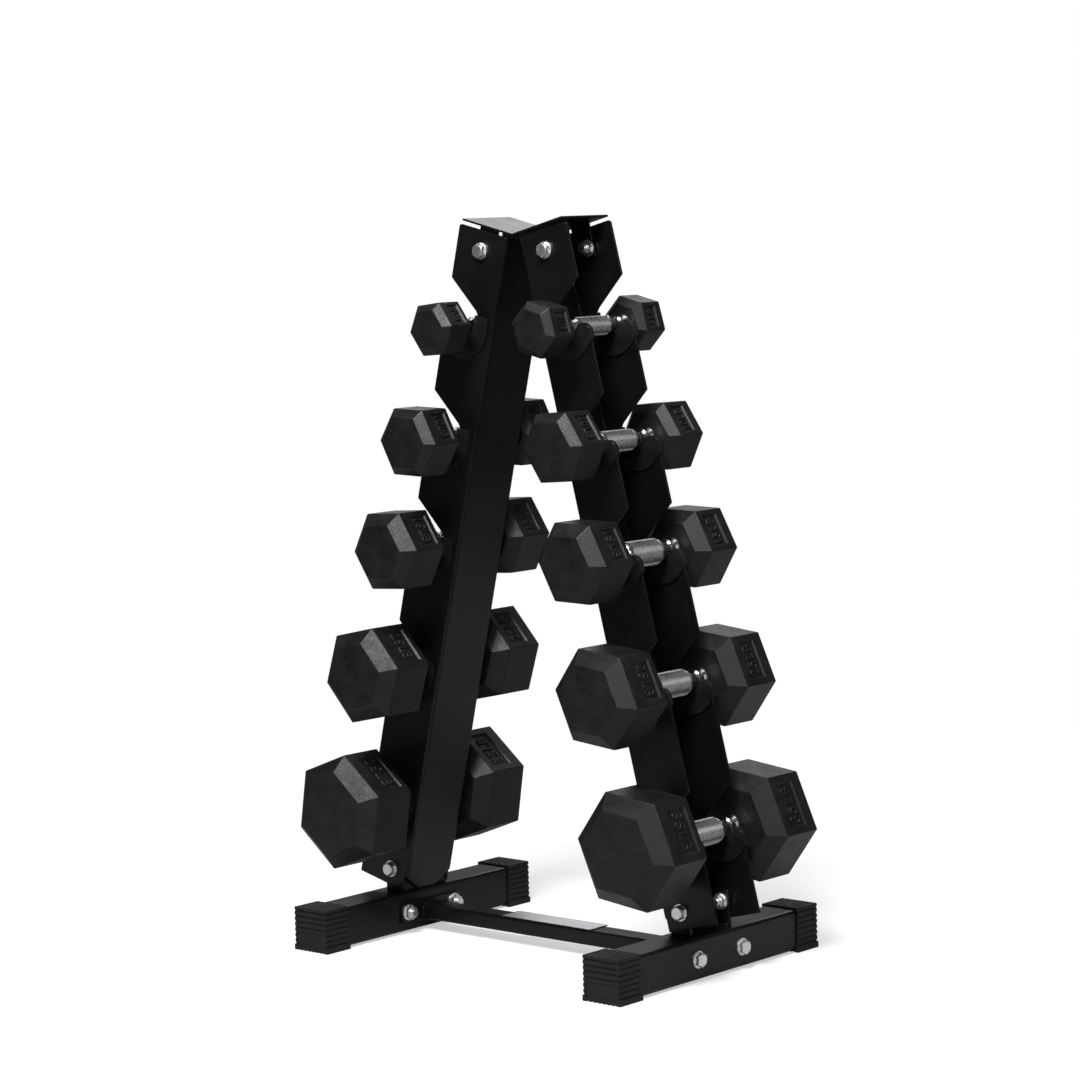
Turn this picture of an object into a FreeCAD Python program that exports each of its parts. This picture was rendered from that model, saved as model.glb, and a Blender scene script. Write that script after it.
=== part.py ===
import FreeCAD, Part
import math
import os

# A-frame dumbbell rack with five pairs of hexagonal dumbbells. Millimetres.
# +X runs from the left leg to the right leg, +Y from the front to the back, +Z up.
# The origin lies on the floor, below the middle of the crossbar.

# ---- legs: one bent sheet each, a channel that opens outwards --------------------------
LEG_TILT = 14.0            # degrees from the vertical
LEG_LENGTH = 857.5         # along the web
CHANNEL_WIDTH = 84.0       # over both flanges, along Y
FLANGE_DEPTH = 79.5        # from the web's face to the flange's outer edge
SHEET = 2.5
BEND_RADIUS = 4.0          # outside of the bend
FLANGE_CORNER = 4.0        # rounding of the flange's top corner
WEB_TOP_X = 9.2            # from the rack's middle plane to the web's face at the leg's top
WEB_TRIM_ACROSS = 26.0     # bevels on the web's two bottom corners, along the edge
WEB_TRIM_UP = 19.0

# ---- cradles: one notch in both flanges for each dumbbell -------------------------------
FIRST_TOOTH = 68.0         # from the leg's top down to the first cradle's tooth
LAST_TOOTH_UP = 160.5      # from the leg's lower end up to the last cradle's tooth
TOOTH_SHARES = (0.0, 0.229, 0.453, 0.7107, 1.0)   # of the way from the first to the last
NOTCH_DROP = 48.2          # from the tooth's corner down to the notch's centre
NOTCH_IN = 31.9            # from the flange's outer edge in to the notch's centre
BORE_RADIUS = 17.5         # inside of the liner
LINER_WALL = 3.5
RAMP_ANGLE = 57.0          # degrees between the tooth's ramp and the leg
RAMP_ROUND = 14.0          # where the ramp turns into the notch's back wall
FINGER_RADIUS = 11.0       # steel finger that closes the cradle on the outside
FINGER_DROP = 68.5         # from the tooth's corner down to the finger's centre
FINGER_COVER = 2.5
LINER_PLATE = 2.0          # liner thickness on each face of the flange
LINER_DISC = 39.5          # radius of the liner's outline
LINER_DISC_DROP = 54.5     # from the tooth's corner down to the outline's centre
LINER_TOP = 36.0           # from the tooth's corner down to the liner's top edge
COVER_SKIRT = 8.0          # how far the finger's cover runs down the outer edge

# ---- feet and crossbar ------------------------------------------------------------------
FOOT_TUBE = 50.0
FOOT_WALL = 2.0
FOOT_LENGTH = 375.0
TUBE_ROUND = 4.0
CAP_WALL = 2.5
CAP_LENGTH = 40.0
CAP_END_WALL = 4.0
CAP_ROUND = 1.5
CAP_GAP = 0.15             # between the cap's sleeve and the tube
CAP_LIP = 1.5              # how far the cap's base stands out at the sides
CAP_LIP_HEIGHT = 7.0
GROOVES = 7                # on each long face of a cap
GROOVE_PITCH = 6.9
GROOVE_WIDTH = 2.2
GROOVE_DEPTH = 1.2
FIRST_GROOVE = 5.1         # from the cap's top down to the first groove on its sides
END_GROOVES = 4            # on the end face, above the panel
SOLE_GROOVE_WIDTH = 3.2
SOLE_GROOVE_DEPTH = 1.8
CAP_BORDER = 3.2           # plain edge beside the end face's grooves and panel
CAP_PANEL_BOTTOM = 4.5
CAP_PANEL_HEIGHT = 19.5
CAP_PANEL_DEPTH = 0.8
BAR_WIDTH = 30.0
BAR_HEIGHT = 20.0
BAR_WALL = 1.5
BAR_ROUND = 3.0
BAR_RISE = 1.0             # from the end plate's lower edge up to the bar
END_PLATE = 3.0
END_PLATE_EDGE = 11.5      # from each bolt out to the plate's end
END_PLATE_HEIGHT = 26.0
END_PLATE_DROP = 1.5       # from the tube's centre line down to the plate's
END_PLATE_ROUND = 4.0
BAR_BOLT_SPREAD = 85.0     # between the two bolts at each end of the crossbar
NAME_PLATE_LENGTH = 148.0
NAME_PLATE_WIDTH = 35.0
NAME_PLATE_THICKNESS = 1.2
NAME_PLATE_ROUND = 2.0

# ---- leg joints -------------------------------------------------------------------------
BRACKET_SHEET = 4.0
BRACKET_OUTWARD = 12.0     # from the lower bolt out to the bracket's edge
BRACKET_HEIGHT = 44.0
BRACKET_BACK_HEIGHT = 36.0
BRACKET_ROUND = 5.0
BRACKET_GAP = 2.0          # between the bracket's back and the web's lower end
LEG_BOLT_OUT = 28.0        # from the web's face out to the lower bolt
LEG_BOLT_UP = 21.5         # from the leg's lower end up to the lower bolt
LEG_BOLT_HEIGHT = 28.8     # from the foot tube's top up to the lower bolt
TOP_BOLT_OUT = 38.2
TOP_BOLT_DOWN = 24.9
TOP_PLATE = 2.5
TOP_PLATE_RISE = 4.9       # between the legs' tops and the plate's underside
TOP_PLATE_SHORT = 4.9      # between each arm's end and the flanges' outer edges
TOP_PLATE_OVERHANG = 1.5   # over the flange on each side
TOP_TAB_WIDTH = 29.5
TOP_TAB_INWARD = 5.5       # from the upper bolt towards the web, to the tab's middle
TOP_TAB_BELOW = 13.0       # from the upper bolt down to the tab's end

# ---- fasteners --------------------------------------------------------------------------
BOLT = 10.0
HOLE = 10.5
HEAD_FLATS = 16.0
HEAD_HEIGHT = 6.4
HEAD_CHAMFER = 1.2
NUT_HEIGHT = 6.0           # hexagonal part
NUT_COLLAR = 2.0           # round collar of the locking insert
NUT_COLLAR_IN = 1.0        # from the hexagon's flats in to the collar
WASHER = 21.0
WASHER_THICKNESS = 2.0
BOLT_END = 3.0             # thread that stands out of the nut
THREAD_GAP = 0.05          # between a nut's or washer's bore and the bolt

# ---- dumbbells --------------------------------------------------------------------------
# name, across flats, length of a head, edge bevel, barrel radius, waist radius
DUMBBELLS = (
    ("5lb", 62.0, 50.7, 8.5, 12.0, 10.0),
    ("10lb", 82.0, 63.2, 10.5, 13.5, 11.0),
    ("15lb", 94.0, 77.7, 14.5, 16.5, 12.5),
    ("25lb", 111.0, 88.2, 16.5, 16.5, 12.5),
    ("35lb", 130.0, 94.2, 18.0, 16.5, 12.5),
)
TURN_RIGHT = (-14.0, 4.0, -1.5, -6.0, -6.5)     # how each one lies in its cradle, degrees
TURN_LEFT = (6.5, -2.0, 3.0, 12.0, 20.5)
RUBBER = 3.4               # thickness over the iron core
BARREL_GAP = 2.0           # between each end of the barrel and the liner beside it
SHOULDER = 2.5             # length of the barrel's end taper
SEAT_MARGIN = 2.5          # plain waist outside each liner
COLLAR_STEP = 1.5          # collar beside the waist, over the waist's radius
COLLAR_LENGTH = 3.5
COLLAR_GAP = 4.3           # plain waist between the collar and the flare
FLARE_STEP = 2.5           # flare at the head, over the waist's radius
FLARE_LENGTH = 6.0
SPIGOT_SHARE = 0.6         # how much of the head the handle reaches into
SPIGOT_GAP = 0.05
SEAT_GAP = 0.3             # between a handle at rest and its liner

# ---- worked out from the values above ---------------------------------------------------
SIN = math.sin(math.radians(LEG_TILT))
COS = math.cos(math.radians(LEG_TILT))
CAP_SIZE = FOOT_TUBE + 2 * CAP_WALL
TUBE_BOTTOM = CAP_WALL
TUBE_TOP = TUBE_BOTTOM + FOOT_TUBE
LEG_BOLT_Z = TUBE_TOP + LEG_BOLT_HEIGHT
BOLT_FROM_TOP = LEG_LENGTH - LEG_BOLT_UP
FOOT_CENTRE = WEB_TOP_X + LEG_BOLT_OUT * COS + BOLT_FROM_TOP * SIN
LEG_TOP_Z = LEG_BOLT_Z - LEG_BOLT_OUT * SIN + BOLT_FROM_TOP * COS
HALF_CHANNEL = CHANNEL_WIDTH / 2
FLANGE_INSIDE = HALF_CHANNEL - SHEET
TOOTH_SPAN = LEG_LENGTH - FIRST_TOOTH - LAST_TOOTH_UP
TOOTH_POSITIONS = [FIRST_TOOTH + share * TOOTH_SPAN for share in TOOTH_SHARES]
NOTCH_DEPTH = FLANGE_DEPTH - NOTCH_IN
STEEL_NOTCH = BORE_RADIUS + LINER_WALL
FINGER_OUT = FLANGE_DEPTH - FINGER_RADIUS
COVER_RADIUS = FINGER_RADIUS + FINGER_COVER
LINER_HALF = SHEET / 2 + LINER_PLATE
BAR_BOLT_Y = BAR_BOLT_SPREAD / 2
TUBE_CENTRE_Z = TUBE_BOTTOM + FOOT_TUBE / 2
FOOT_INNER_X = FOOT_CENTRE - FOOT_TUBE / 2
FOOT_OUTER_X = FOOT_CENTRE + FOOT_TUBE / 2
END_PLATE_BOTTOM = TUBE_CENTRE_Z - END_PLATE_DROP - END_PLATE_HEIGHT / 2
BAR_BOTTOM = END_PLATE_BOTTOM + BAR_RISE
BAR_TOP = BAR_BOTTOM + BAR_HEIGHT
BARREL_HALF = FLANGE_INSIDE - LINER_PLATE - BARREL_GAP - SHOULDER
SEAT_END = HALF_CHANNEL + LINER_PLATE + SEAT_MARGIN
COLLAR_END = SEAT_END + COLLAR_LENGTH
FLARE_START = COLLAR_END + COLLAR_GAP
HEAD_START = FLARE_START + FLARE_LENGTH         # from a dumbbell's middle to each head
CUT = 10.0                 # how far a cutter runs past what it cuts


def vec(x, y, z):
    return FreeCAD.Vector(x, y, z)


def box(x0, x1, y0, y1, z0, z1):
    return Part.makeBox(x1 - x0, y1 - y0, z1 - z0, vec(x0, y0, z0))


def cylinder_y(radius, y0, y1, x, z):
    return Part.makeCylinder(radius, y1 - y0, vec(x, y0, z), vec(0, 1, 0))


def cylinder_x(radius, x0, x1, y, z):
    return Part.makeCylinder(radius, x1 - x0, vec(x0, y, z), vec(1, 0, 0))


def union(shapes):
    result = shapes[0]
    for shape in shapes[1:]:
        result = result.fuse(shape)
    return result.removeSplitter()


def turned_y(shape, degrees, x=0.0, z=0.0):
    """Turn a shape about an axis along Y; positive lifts +X towards +Z."""
    copy = shape.copy()
    copy.rotate(vec(x, 0, z), vec(0, 1, 0), -degrees)
    return copy


def turned_z(shape, degrees):
    copy = shape.copy()
    copy.rotate(vec(0, 0, 0), vec(0, 0, 1), degrees)
    return copy


def moved(shape, x, y, z):
    copy = shape.copy()
    copy.translate(vec(x, y, z))
    return copy


# ---- leg space: d outwards from the web's face, s down along the leg ---------------------

def leg_point(d, s, y=0.0):
    """A point of the upright leg, before it is tilted."""
    return vec(d, y, -s)


def leg_to_rack(shape, side):
    """Tilt an upright shape onto the right leg, or the left one for side -1."""
    placed = moved(turned_y(shape, LEG_TILT), WEB_TOP_X, 0, LEG_TOP_Z)
    return placed if side > 0 else turned_z(placed, 180)


def rack_xz(d, s):
    """The right leg's point (d, s) as X and Z of the rack."""
    return WEB_TOP_X + d * COS + s * SIN, LEG_TOP_Z + d * SIN - s * COS


def seat(tooth, waist):
    """Centre of a handle at rest: it lies at the bottom of the liner's bore."""
    drop = BORE_RADIUS - waist - SEAT_GAP
    return NOTCH_DEPTH - drop * SIN, tooth + NOTCH_DROP + drop * COS


def prism(edges, half):
    face = Part.Face(Part.Wire(edges))
    face.translate(vec(0, -half, 0))
    return face.extrude(vec(0, 2 * half, 0))


def line(a, b):
    return Part.LineSegment(a, b).toShape()


def arc(a, middle, b):
    return Part.Arc(a, middle, b).toShape()


def on_circle(centre_d, centre_s, radius, angle):
    """A point on a circle in leg space; angle 0 points outwards, 90 down the leg."""
    turn = math.radians(angle)
    return leg_point(centre_d + radius * math.cos(turn), centre_s + radius * math.sin(turn))


def notch_cutter(tooth):
    """Ramp, rounded back wall, round bottom and the inner side of the finger."""
    ramp = math.radians(RAMP_ANGLE)
    wall = NOTCH_DEPTH - STEEL_NOTCH
    meet = (FLANGE_DEPTH - wall) / math.tan(ramp)
    tangent = RAMP_ROUND * math.tan(ramp / 2)
    round_start = leg_point(wall + tangent * math.sin(ramp),
                            tooth + meet - tangent * math.cos(ramp))
    round_end = leg_point(wall, tooth + meet + tangent)
    round_centre = (wall + RAMP_ROUND, tooth + meet + tangent)
    round_middle = on_circle(*round_centre, RAMP_ROUND, 180 + RAMP_ANGLE / 2)
    centre = (NOTCH_DEPTH, tooth + NOTCH_DROP)
    finger = (FINGER_OUT, tooth + FINGER_DROP)
    tip = tip_angle()
    tip_point = on_circle(*centre, STEEL_NOTCH, tip[0])
    corner = leg_point(FLANGE_DEPTH, tooth)
    finger_side = leg_point(FLANGE_DEPTH, tooth + FINGER_DROP)
    low_outside = leg_point(FLANGE_DEPTH + CUT, tooth + FINGER_DROP)
    high_outside = leg_point(FLANGE_DEPTH + CUT, tooth)
    notch_start = on_circle(*centre, STEEL_NOTCH, 180)
    notch_bottom = on_circle(*centre, STEEL_NOTCH, 90)
    finger_middle = on_circle(*finger, FINGER_RADIUS, (tip[1] + 360) / 2)
    edges = [
        line(corner, round_start),
        arc(round_start, round_middle, round_end),
        line(round_end, notch_start),
        arc(notch_start, notch_bottom, tip_point),
        arc(tip_point, finger_middle, finger_side),
        line(finger_side, low_outside),
        line(low_outside, high_outside),
        line(high_outside, corner),
    ]
    return prism(edges, HALF_CHANNEL + CUT)


def tip_angle():
    """Where the notch's circle meets the finger's, as an angle on each."""
    across = FINGER_OUT - NOTCH_DEPTH
    down = FINGER_DROP - NOTCH_DROP
    reach = math.hypot(across, down)
    along = (STEEL_NOTCH ** 2 - FINGER_RADIUS ** 2 + reach ** 2) / (2 * reach)
    bearing = math.degrees(math.atan2(down, across))
    on_notch = bearing - math.degrees(math.acos(along / STEEL_NOTCH))
    d = STEEL_NOTCH * math.cos(math.radians(on_notch)) - across
    s = STEEL_NOTCH * math.sin(math.radians(on_notch)) - down
    return on_notch, math.degrees(math.atan2(s, d)) % 360


def channel():
    """The bent sheet before it is notched: web and two flanges with round bends."""
    outer = box(0, FLANGE_DEPTH, -HALF_CHANNEL, HALF_CHANNEL, -LEG_LENGTH, 0)
    inner = box(SHEET, FLANGE_DEPTH + CUT, -FLANGE_INSIDE, FLANGE_INSIDE, -LEG_LENGTH - CUT, CUT)
    return rounded(outer, BEND_RADIUS, 0).cut(rounded(inner, BEND_RADIUS - SHEET, SHEET))


def rounded(shape, radius, d):
    """Round the two long edges that stand at distance d from the web's face."""
    edges = [e for e in shape.Edges if upright(e) and abs(e.Vertexes[0].X - d) < 0.01]
    return shape.makeFillet(radius, edges)


def upright(edge):
    ends = [v.Point for v in edge.Vertexes]
    if len(ends) != 2 or abs(ends[0].z - ends[1].z) < 1:
        return False
    return math.hypot(ends[0].x - ends[1].x, ends[0].y - ends[1].y) < 0.01


def corner_cutter():
    """Leaves the flange's top outer corner round."""
    centre = FLANGE_DEPTH - FLANGE_CORNER
    reach = HALF_CHANNEL + CUT
    block = box(centre, FLANGE_DEPTH + CUT, -reach, reach, -FLANGE_CORNER, CUT)
    return block.cut(cylinder_y(FLANGE_CORNER, -reach, reach, centre, -FLANGE_CORNER))


def web_trims():
    """Bevels on the two bottom corners of the web, across the bends."""
    cutters = []
    for side in (-1, 1):
        y = side * HALF_CHANNEL
        corners = [vec(-CUT, y, -LEG_LENGTH - CUT),
                   vec(-CUT, y, -LEG_LENGTH + WEB_TRIM_UP),
                   vec(-CUT, y - side * WEB_TRIM_ACROSS, -LEG_LENGTH),
                   vec(-CUT, y - side * WEB_TRIM_ACROSS, -LEG_LENGTH - CUT)]
        face = Part.Face(Part.makePolygon(corners + corners[:1]))
        cutters.append(face.extrude(vec(CUT + BEND_RADIUS, 0, 0)))
    return cutters


def upright_leg():
    leg = channel()
    cutters = [notch_cutter(tooth) for tooth in TOOTH_POSITIONS]
    cutters.append(corner_cutter())
    cutters += web_trims()
    reach = HALF_CHANNEL + CUT
    cutters.append(cylinder_y(HOLE / 2, -reach, reach, TOP_BOLT_OUT, -TOP_BOLT_DOWN))
    cutters.append(cylinder_y(HOLE / 2, -reach, reach, LEG_BOLT_OUT, -BOLT_FROM_TOP))
    for cutter in cutters:
        leg = leg.cut(cutter)
    return leg


def disc(centre_d, centre_s, radius):
    return cylinder_y(radius, -LINER_HALF, LINER_HALF, centre_d, -centre_s)


def liner_plate(tooth):
    """The liner's outline as a thick plate, with its bore and its finger cover."""
    plate = disc(NOTCH_DEPTH, tooth + LINER_DISC_DROP, LINER_DISC)
    keep = box(0, FLANGE_DEPTH, -LINER_HALF, LINER_HALF,
               -tooth - LINER_DISC_DROP - LINER_DISC - CUT, -tooth - LINER_TOP)
    wall = NOTCH_DEPTH - BORE_RADIUS
    outside = FLANGE_DEPTH + CUT
    mouth_points = [leg_point(wall, tooth),
                    leg_point(wall, tooth + NOTCH_DROP),
                    leg_point(NOTCH_DEPTH, tooth + NOTCH_DROP),
                    leg_point(FINGER_OUT, tooth + FINGER_DROP),
                    leg_point(outside, tooth + FINGER_DROP),
                    leg_point(outside, tooth)]
    ends = mouth_points[1:] + mouth_points[:1]
    mouth = prism([line(a, b) for a, b in zip(mouth_points, ends)], LINER_HALF + CUT)
    cover = disc(FINGER_OUT, tooth + FINGER_DROP, COVER_RADIUS)
    skirt = box(FINGER_OUT, FLANGE_DEPTH + FINGER_COVER, -LINER_HALF, LINER_HALF,
                -tooth - FINGER_DROP - COVER_SKIRT, -tooth - FINGER_DROP)
    body = union([plate.common(keep).cut(mouth), cover, skirt])
    return body.cut(disc(NOTCH_DEPTH, tooth + NOTCH_DROP, BORE_RADIUS))


def liners(leg, side, face):
    """Five liners on one flange; face -1 is the front flange, 1 the rear one."""
    middle = side * face * (HALF_CHANNEL - SHEET / 2)
    pieces = []
    for tooth in TOOTH_POSITIONS:
        pieces.append(leg_to_rack(moved(liner_plate(tooth), 0, middle, 0).cut(leg), side))
    return pieces


# ---- frame pieces ------------------------------------------------------------------------

def top_bracket():
    """One V-shaped plate; four tabs go down inside the flanges to the upper bolts."""
    under = TOP_PLATE_RISE
    valley = (WEB_TOP_X - under * SIN) / COS      # from the leg's edge back to the middle plane
    half = HALF_CHANNEL + TOP_PLATE_OVERHANG
    far = 2 * FLANGE_DEPTH
    high = 2 * LEG_TOP_Z
    arm = box(-valley, FLANGE_DEPTH - TOP_PLATE_SHORT, -half, half, under, under + TOP_PLATE)
    tab_d = TOP_BOLT_OUT - TOP_TAB_INWARD - TOP_TAB_WIDTH / 2
    pieces = []
    for side in (-1, 1):
        tabs = [box(tab_d, tab_d + TOP_TAB_WIDTH, *sorted((y, y - math.copysign(TOP_PLATE, y))),
                    -TOP_BOLT_DOWN - TOP_TAB_BELOW, under + TOP_PLATE / 2)
                for y in (-FLANGE_INSIDE, FLANGE_INSIDE)]
        bent = union([arm] + tabs)
        bent = bent.cut(cylinder_y(HOLE / 2, -half, half, TOP_BOLT_OUT, -TOP_BOLT_DOWN))
        placed = leg_to_rack(bent, side)
        x0, x1 = sorted((0, side * far))
        pieces.append(placed.common(box(x0, x1, -half, half, 0, high)))
    return union(pieces)


def tube_y(size, wall, length, radius):
    """A square tube along Y, centred on the origin."""
    outer = box(-size / 2, size / 2, -length / 2, length / 2, -size / 2, size / 2)
    inside = size / 2 - wall
    inner = box(-inside, inside, -length, length, -inside, inside)
    return fillet_along_y(outer, radius).cut(fillet_along_y(inner, radius - wall))


def fillet_along_y(shape, radius):
    edges = [e for e in shape.Edges if abs(e.Vertexes[0].Y - e.Vertexes[1].Y) > 1]
    return shape.makeFillet(radius, edges)


def foot_tube(side):
    tube = tube_y(FOOT_TUBE, FOOT_WALL, FOOT_LENGTH, TUBE_ROUND)
    tube = moved(tube, side * FOOT_CENTRE, 0, TUBE_CENTRE_Z)
    x0 = side * FOOT_CENTRE - FOOT_TUBE
    for y in (-BAR_BOLT_Y, BAR_BOLT_Y):
        tube = tube.cut(cylinder_x(HOLE / 2, x0, x0 + 2 * FOOT_TUBE, y, TUBE_CENTRE_Z))
    return tube


def cap_body(inner_end, outer_end):
    """The cap's sleeve with its wider base, centred on the tube's centre line."""
    half = CAP_SIZE / 2
    wide = half + CAP_LIP
    sleeve = fillet_along_y(box(-half, half, inner_end, outer_end, -half, half), CAP_ROUND)
    base = box(-wide, wide, inner_end - CAP_LIP, outer_end, -half, -half + CAP_LIP_HEIGHT)
    edge = FOOT_TUBE / 2 + CAP_GAP
    socket = box(-edge, edge, inner_end - CUT, FOOT_LENGTH / 2, -edge, edge)
    return sleeve.fuse(base).cut(fillet_along_y(socket, TUBE_ROUND))


def end_cap(side, end):
    """A grooved sleeve over the tube's end, with a plain panel low on its end face."""
    half = CAP_SIZE / 2
    outer_end = FOOT_LENGTH / 2 + CAP_END_WALL
    inner_end = outer_end - CAP_LENGTH
    cap = cap_body(inner_end, outer_end)
    for cutter in cap_grooves(half, inner_end, outer_end):
        cap = cap.cut(cutter)
    panel = box(-half + CAP_BORDER, half - CAP_BORDER, outer_end - CAP_PANEL_DEPTH,
                outer_end + CUT, -half + CAP_PANEL_BOTTOM,
                -half + CAP_PANEL_BOTTOM + CAP_PANEL_HEIGHT)
    cap = cap.cut(panel)
    return moved(turned_z(cap, 0 if end > 0 else 180), side * FOOT_CENTRE, 0, TUBE_CENTRE_Z)


def cap_grooves(half, inner_end, outer_end):
    """Grooves along the sides, the top and the sole, and across the end face."""
    g = GROOVE_WIDTH / 2
    sole = SOLE_GROOVE_WIDTH / 2
    deep = half - GROOVE_DEPTH
    start = inner_end - CUT
    past = outer_end + CUT
    cutters = []
    for i in range(GROOVES):
        z = half - FIRST_GROOVE - i * GROOVE_PITCH
        x = (i - (GROOVES - 1) / 2) * GROOVE_PITCH
        cutters.append(box(deep, half + CUT, start, past, z - g, z + g))
        cutters.append(box(-half - CUT, -deep, start, past, z - g, z + g))
        cutters.append(box(x - g, x + g, start, outer_end - CAP_BORDER, deep, half + CUT))
        cutters.append(box(x - sole, x + sole, start, past,
                           -half - CUT, -half + SOLE_GROOVE_DEPTH))
        if i < END_GROOVES:
            width = half - CAP_BORDER
            cutters.append(box(-width, width, outer_end - GROOVE_DEPTH, past, z - g, z + g))
    return cutters


def leg_bracket(side):
    """A U-shaped bracket welded to the foot; the leg's flanges bolt to its two sides."""
    inner = FOOT_CENTRE - rack_xz(SHEET, LEG_LENGTH)[0] - BRACKET_GAP
    pieces = [box(-inner, BRACKET_SHEET - inner, -FLANGE_INSIDE, FLANGE_INSIDE,
                  TUBE_TOP, TUBE_TOP + BRACKET_BACK_HEIGHT)]
    for face in (-1, 1):
        y0, y1 = sorted((face * FLANGE_INSIDE, face * (FLANGE_INSIDE - BRACKET_SHEET)))
        flank = box(-inner, BRACKET_OUTWARD, y0, y1, TUBE_TOP, TUBE_TOP + BRACKET_HEIGHT)
        flank = flank.makeFillet(BRACKET_ROUND, [e for e in flank.Edges if across_top(e)])
        pieces.append(flank.cut(cylinder_y(HOLE / 2, y0 - CUT, y1 + CUT, 0, LEG_BOLT_Z)))
    bracket = union(pieces)
    return moved(bracket if side > 0 else turned_z(bracket, 180), side * FOOT_CENTRE, 0, 0)


def across_top(edge):
    a, b = (v.Point for v in edge.Vertexes)
    return abs(a.y - b.y) > 1 and min(a.z, b.z) > TUBE_TOP + 1


def crossbar():
    half = FOOT_INNER_X - END_PLATE
    width = BAR_WIDTH / 2
    inside = width - BAR_WALL
    bar = box(-half, half, -width, width, BAR_BOTTOM, BAR_TOP)
    bar = fillet_along_x(bar, BAR_ROUND)
    return bar.cut(box(-2 * half, 2 * half, -inside, inside,
                       BAR_BOTTOM + BAR_WALL, BAR_TOP - BAR_WALL))


def fillet_along_x(shape, radius):
    edges = [e for e in shape.Edges if abs(e.Vertexes[0].X - e.Vertexes[1].X) > 1]
    return shape.makeFillet(radius, edges)


def end_plate(side):
    x0, x1 = sorted((side * FOOT_INNER_X, side * (FOOT_INNER_X - END_PLATE)))
    half = BAR_BOLT_Y + END_PLATE_EDGE
    plate = box(x0, x1, -half, half, END_PLATE_BOTTOM, END_PLATE_BOTTOM + END_PLATE_HEIGHT)
    plate = fillet_along_x(plate, END_PLATE_ROUND)
    for y in (-BAR_BOLT_Y, BAR_BOLT_Y):
        plate = plate.cut(cylinder_x(HOLE / 2, x0 - CUT, x1 + CUT, y, TUBE_CENTRE_Z))
    return plate


def name_plate():
    """A thin blank plate, a little wider than the bar that it lies on."""
    length = NAME_PLATE_LENGTH / 2
    width = NAME_PLATE_WIDTH / 2
    plate = box(-length, length, -width, width, BAR_TOP, BAR_TOP + NAME_PLATE_THICKNESS)
    corners = [e for e in plate.Edges if abs(e.Vertexes[0].Z - e.Vertexes[1].Z) > 0.1]
    return plate.makeFillet(NAME_PLATE_ROUND, corners)


# ---- fasteners: made along +Y, with the outer face of the clamped stack at Y = 0 -----------

def hexagon(flats, y, x=0.0, z=0.0, turn=0.0):
    radius = flats / math.sqrt(3)
    points = [vec(x + radius * math.cos(math.radians(60 * i + turn)), y,
                  z + radius * math.sin(math.radians(60 * i + turn))) for i in range(6)]
    return Part.makePolygon(points + points[:1])


def bolt(grip, reach):
    """Head outside, shank inwards through the grip and out of the nut."""
    head = Part.Face(hexagon(HEAD_FLATS, 0, turn=30)).extrude(vec(0, HEAD_HEIGHT, 0))
    corner = HEAD_FLATS / math.sqrt(3)
    straight = HEAD_HEIGHT - HEAD_CHAMFER
    chamfer = Part.makeCone(corner, corner - 2 * HEAD_CHAMFER, HEAD_CHAMFER,
                            vec(0, straight, 0), vec(0, 1, 0))
    blank = cylinder_y(corner, 0, straight, 0, 0).fuse(chamfer)
    head = moved(head.common(blank), 0, WASHER_THICKNESS, 0)
    shank = cylinder_y(BOLT / 2, -grip - reach, WASHER_THICKNESS, 0, 0)
    return union([head, shank])


def washer(y0):
    ring = cylinder_y(WASHER / 2, y0, y0 + WASHER_THICKNESS, 0, 0)
    return ring.cut(cylinder_y(BOLT / 2 + THREAD_GAP, y0 - CUT, y0 + CUT, 0, 0))


def nut(y1):
    """A locking nut whose outer side rests at y1, with the round insert collar inwards."""
    inner = y1 - NUT_HEIGHT
    block = Part.Face(hexagon(HEAD_FLATS, inner, turn=30)).extrude(vec(0, NUT_HEIGHT, 0))
    collar = cylinder_y(HEAD_FLATS / 2 - NUT_COLLAR_IN, inner - NUT_COLLAR, y1, 0, 0)
    bore = cylinder_y(BOLT / 2 + THREAD_GAP, inner - CUT, y1 + CUT, 0, 0)
    return union([block, collar]).cut(bore)


def fastener_set(grip):
    """Bolt, two washers and nut around a stack of the given thickness."""
    inner = -grip - WASHER_THICKNESS
    reach = WASHER_THICKNESS + NUT_HEIGHT + NUT_COLLAR + BOLT_END
    return {"bolts": [bolt(grip, reach)],
            "washers": [washer(0), washer(inner)],
            "nuts": [nut(inner)]}


def place_on_y(shape, x, face, z, surface):
    """Stand a fastener on a face that looks along face * Y."""
    return moved(shape if face > 0 else turned_z(shape, 180), x, face * surface, z)


def place_on_x(shape, side, y, z, surface):
    return moved(turned_z(shape, -90 * side), side * surface, y, z)


def joint_fasteners():
    groups = {}

    def add(name, parts, place):
        for kind, shapes in parts.items():
            groups.setdefault(name + "_" + kind, []).extend(place(s) for s in shapes)

    top_x, top_z = rack_xz(TOP_BOLT_OUT, TOP_BOLT_DOWN)
    for side in (-1, 1):
        for face in (-1, 1):
            add("top", fastener_set(SHEET + TOP_PLATE),
                lambda s: place_on_y(s, side * top_x, face, top_z, HALF_CHANNEL))
            add("leg", fastener_set(SHEET + BRACKET_SHEET),
                lambda s: place_on_y(s, side * FOOT_CENTRE, face, LEG_BOLT_Z, HALF_CHANNEL))
            add("crossbar", fastener_set(FOOT_TUBE + END_PLATE),
                lambda s: place_on_x(s, side, face * BAR_BOLT_Y, TUBE_CENTRE_Z, FOOT_OUTER_X))
    return groups


# ---- dumbbells: made along Y about the origin -------------------------------------------

def hex_block(flats, y0, y1, bevel):
    """A hexagonal block along Y with all edges of both ends bevelled at 45 degrees."""
    sections = [hexagon(flats - 2 * bevel, y0), hexagon(flats, y0 + bevel),
                hexagon(flats, y1 - bevel), hexagon(flats - 2 * bevel, y1)]
    return Part.makeLoft(sections, True, True)


def spigot_end(length):
    return HEAD_START + SPIGOT_SHARE * length


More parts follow.
